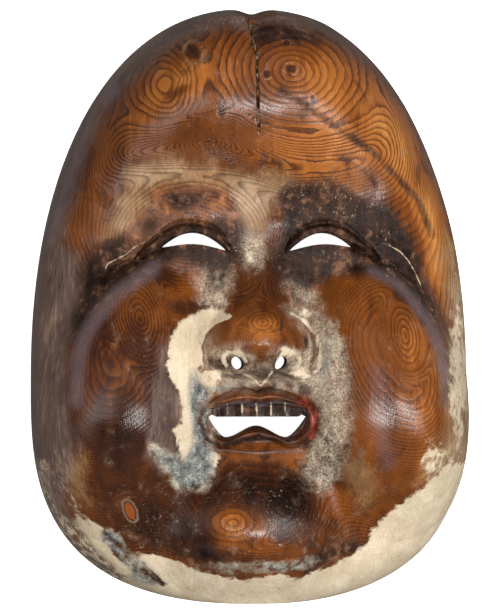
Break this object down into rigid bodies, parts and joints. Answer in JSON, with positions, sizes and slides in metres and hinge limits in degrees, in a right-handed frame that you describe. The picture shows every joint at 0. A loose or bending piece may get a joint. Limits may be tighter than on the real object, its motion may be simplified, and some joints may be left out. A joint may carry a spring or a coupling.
{
  "type": "okame mask",
  "caption": "Carved wooden theatre mask of a full-cheeked woman: one hollow piece with slit eyes, open mouth and cord holes, lying on its flat back rim.",
  "frame": {"origin": "middle of the footprint of the flat back rim, in the plane that the mask lies on", "axes": "+X to the right of someone who looks at the face, +Y from the chin to the crown, +Z out of the face"},
  "size_m": [0.1767, 0.24, 0.0877],
  "materials": {
    "old_wood": "worn lacquer over gesso, polished bare wood"
  },
  "bodies": {
    "root": {"mask": "old_wood"}
  },
  "joints": []
}
